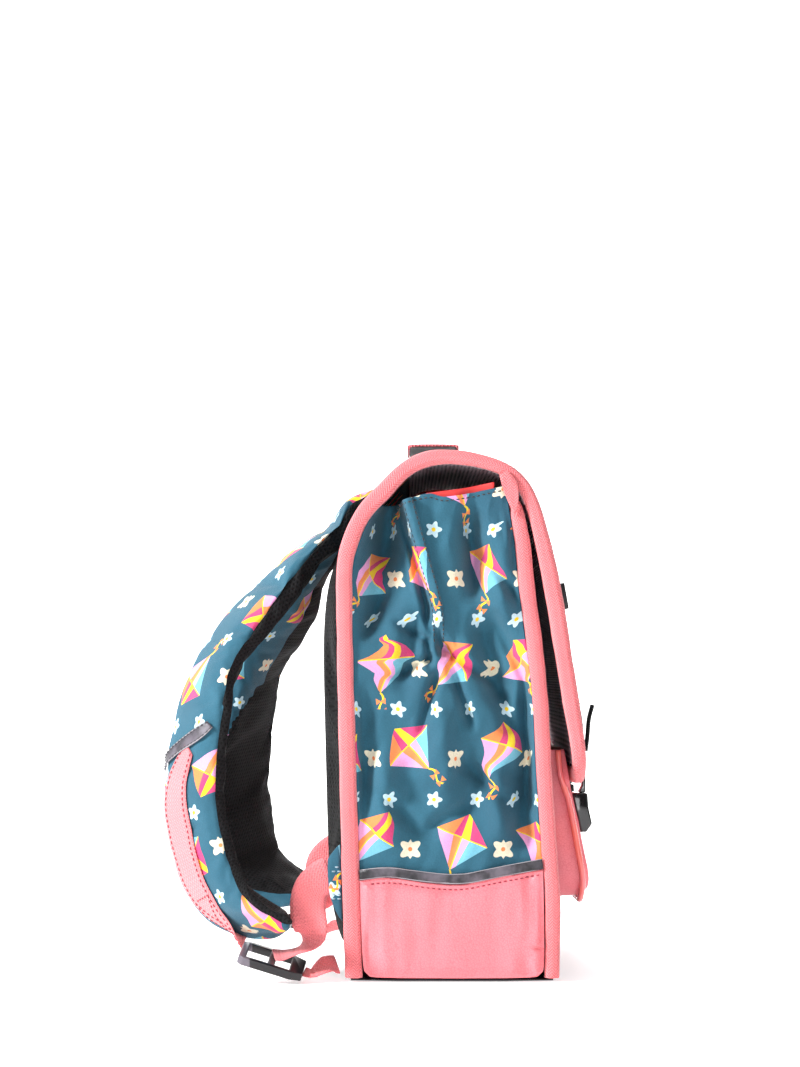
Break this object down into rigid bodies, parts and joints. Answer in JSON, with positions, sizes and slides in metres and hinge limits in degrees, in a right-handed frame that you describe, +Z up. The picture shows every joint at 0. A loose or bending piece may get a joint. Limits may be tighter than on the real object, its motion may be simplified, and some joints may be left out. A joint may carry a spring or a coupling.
{
  "type": "school satchel backpack",
  "caption": "Box-shaped children's school satchel with a padded back, a flap held by two straps and locks, pleated cloth sides and two padded shoulder straps.",
  "frame": {"origin": "on the floor, at the centre of the base", "axes": "+Z up, the front of the bag and its flap face -Y, the back pad and the shoulder straps are on the +Y side, X is across the bag"},
  "size_m": [0.3648, 0.309, 0.3854],
  "materials": {
    "printed_cloth": "matte printed canvas",
    "coral_tape": "matte twill tape and webbing",
    "coral_leather": "satin grained leather",
    "coral_piping": "glossy",
    "spacer_mesh": "open spacer mesh",
    "lining_mesh": "fine mesh",
    "red_lining": "smooth coated cloth",
    "reflective_tape": "satin reflective tape",
    "black_plastic": "moulded",
    "black_webbing": "woven webbing",
    "lock_metal": "gloss gunmetal"
  },
  "bodies": {
    "root": {"back_flap_panel": "printed_cloth", "edge_binding": "coral_tape", "front_panel": "printed_cloth", "front_binding": "coral_tape", "flap_lining": "lining_mesh", "gusset_left": "printed_cloth", "gusset_right": "printed_cloth", "gusset_lining_left": "red_lining", "gusset_lining_right": "red_lining", "binding_end_left": "coral_tape", "binding_end_right": "coral_tape", "side_base_left": "coral_leather", "side_base_right": "coral_leather", "reflective_band_left": "reflective_tape", "reflective_band_right": "reflective_tape", "base_panel": "black_plastic", "back_pad": "spacer_mesh", "front_pocket": "coral_leather", "pocket_piping": "coral_piping", "closure_strap_left": "black_webbing", "closure_strap_right": "black_webbing", "closure_tail_left": "black_webbing", "closure_tail_right": "black_webbing", "closure_slider_left": "black_plastic", "closure_slider_right": "black_plastic", "closure_ring_left": "black_plastic", "closure_ring_right": "black_plastic", "lock_tongue_left": "lock_metal", "lock_tongue_right": "lock_metal", "lock_left": "lock_metal", "lock_right": "lock_metal", "shoulder_strap_left": "printed_cloth", "shoulder_strap_right": "printed_cloth", "strap_mesh_left": "spacer_mesh", "strap_mesh_right": "spacer_mesh", "ladder_lock_left": "black_plastic", "ladder_lock_right": "black_plastic", "strap_webbing_left": "coral_tape", "strap_webbing_right": "coral_tape", "strap_reflector_left": "reflective_tape", "strap_reflector_right": "reflective_tape", "side_tab_left": "printed_cloth", "side_tab_right": "printed_cloth", "adjust_webbing_left": "coral_tape", "adjust_webbing_right": "coral_tape", "adjust_tail_left": "coral_tape", "adjust_tail_right": "coral_tape", "carry_handle": "black_webbing", "handle_cover": "coral_tape"}
  },
  "joints": []
}
